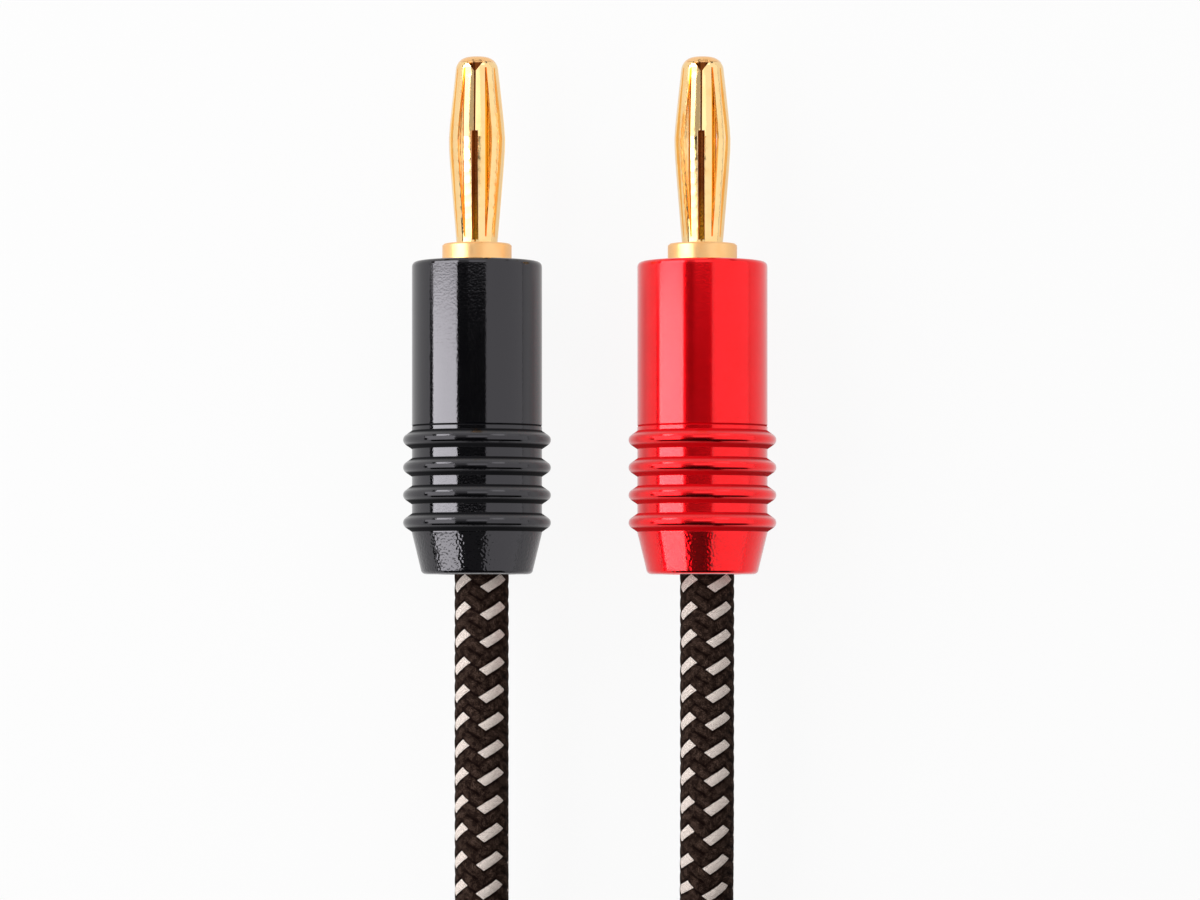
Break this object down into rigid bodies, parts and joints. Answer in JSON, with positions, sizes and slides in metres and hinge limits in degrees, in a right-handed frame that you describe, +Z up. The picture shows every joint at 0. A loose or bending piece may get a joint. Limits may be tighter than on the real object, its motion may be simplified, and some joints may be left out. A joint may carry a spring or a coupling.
{
  "type": "speaker wire",
  "caption": "Black and red braided speaker leads with screw-shell banana plugs at both ends, the spare lead wound in a tied coil.",
  "frame": {"origin": "middle of the box round the four plugs, on the surface the part lies on", "axes": "+Y along the near plugs towards their tips, +X from the black near plug to the red one, +Z up from the surface"},
  "size_m": [0.0728, 0.1614, 0.0404],
  "materials": {
    "gold_plate": "gold plated, satin polished",
    "gold_spring": "gold plated spring sheet, bright",
    "black_anodised": "anodised black, satin",
    "red_anodised": "anodised red, satin",
    "nylon": "moulded nylon",
    "screw_steel": "plain steel",
    "copper_strand": "bare copper strands",
    "insulation": "soft insulation",
    "shrink_band": "shrunk sleeve",
    "braid": "braided sleeve, black with white floats",
    "strap": "woven hook strap"
  },
  "bodies": {
    "root": {"black_near_contact": "gold_plate", "black_near_spring": "gold_spring", "black_near_set_screws": "screw_steel", "black_near_conductor": "copper_strand", "black_near_insulation": "insulation", "black_near_band": "shrink_band", "red_near_contact": "gold_plate", "red_near_spring": "gold_spring", "red_near_set_screws": "screw_steel", "red_near_conductor": "copper_strand", "red_near_insulation": "insulation", "red_near_band": "shrink_band", "black_far_contact": "gold_plate", "black_far_spring": "gold_spring", "black_far_set_screws": "screw_steel", "black_far_conductor": "copper_strand", "black_far_insulation": "insulation", "black_far_band": "shrink_band", "red_far_contact": "gold_plate", "red_far_spring": "gold_spring", "red_far_set_screws": "screw_steel", "red_far_conductor": "copper_strand", "red_far_insulation": "insulation", "red_far_band": "shrink_band", "black_near_lead": "braid", "red_near_lead": "braid", "black_far_lead": "braid", "red_far_lead": "braid", "lead_coil": "braid", "coil_tie": "strap"},
    "black_near_sleeve": {"black_near_liner": "nylon"},
    "black_near_grip": {"black_near_shell": "black_anodised"},
    "red_near_sleeve": {"red_near_liner": "nylon"},
    "red_near_grip": {"red_near_shell": "red_anodised"},
    "black_far_sleeve": {"black_far_liner": "nylon"},
    "black_far_grip": {"black_far_shell": "black_anodised"},
    "red_far_sleeve": {"red_far_liner": "nylon"},
    "red_far_grip": {"red_far_shell": "red_anodised"}
  },
  "joints": [
    {"name": "black_near_sleeve_slide", "type": "slide", "parent": "root", "child": "black_near_sleeve", "axis": [0, -1, 0], "range_m": [0, 0.016]},
    {"name": "black_near_shell_turn", "type": "hinge", "parent": "black_near_sleeve", "child": "black_near_grip", "pos_m": [-0.00953, 0.0504, 0.00625], "axis": [0, 1, 0], "continuous": true},
    {"name": "red_near_sleeve_slide", "type": "slide", "parent": "root", "child": "red_near_sleeve", "axis": [0, -1, 0], "range_m": [0, 0.016]},
    {"name": "red_near_shell_turn", "type": "hinge", "parent": "red_near_sleeve", "child": "red_near_grip", "pos_m": [0.00953, 0.0504, 0.00625], "axis": [0, 1, 0], "continuous": true},
    {"name": "black_far_sleeve_slide", "type": "slide", "parent": "root", "child": "black_far_sleeve", "axis": [0, 1, 0], "range_m": [0, 0.016]},
    {"name": "black_far_shell_turn", "type": "hinge", "parent": "black_far_sleeve", "child": "black_far_grip", "pos_m": [0.00675, -0.0504, 0.0342], "axis": [0, 1, 0], "continuous": true},
    {"name": "red_far_sleeve_slide", "type": "slide", "parent": "root", "child": "red_far_sleeve", "axis": [0, 1, 0], "range_m": [0, 0.016]},
    {"name": "red_far_shell_turn", "type": "hinge", "parent": "red_far_sleeve", "child": "red_far_grip", "pos_m": [-0.00675, -0.0504, 0.0342], "axis": [0, 1, 0], "continuous": true}
  ]
}
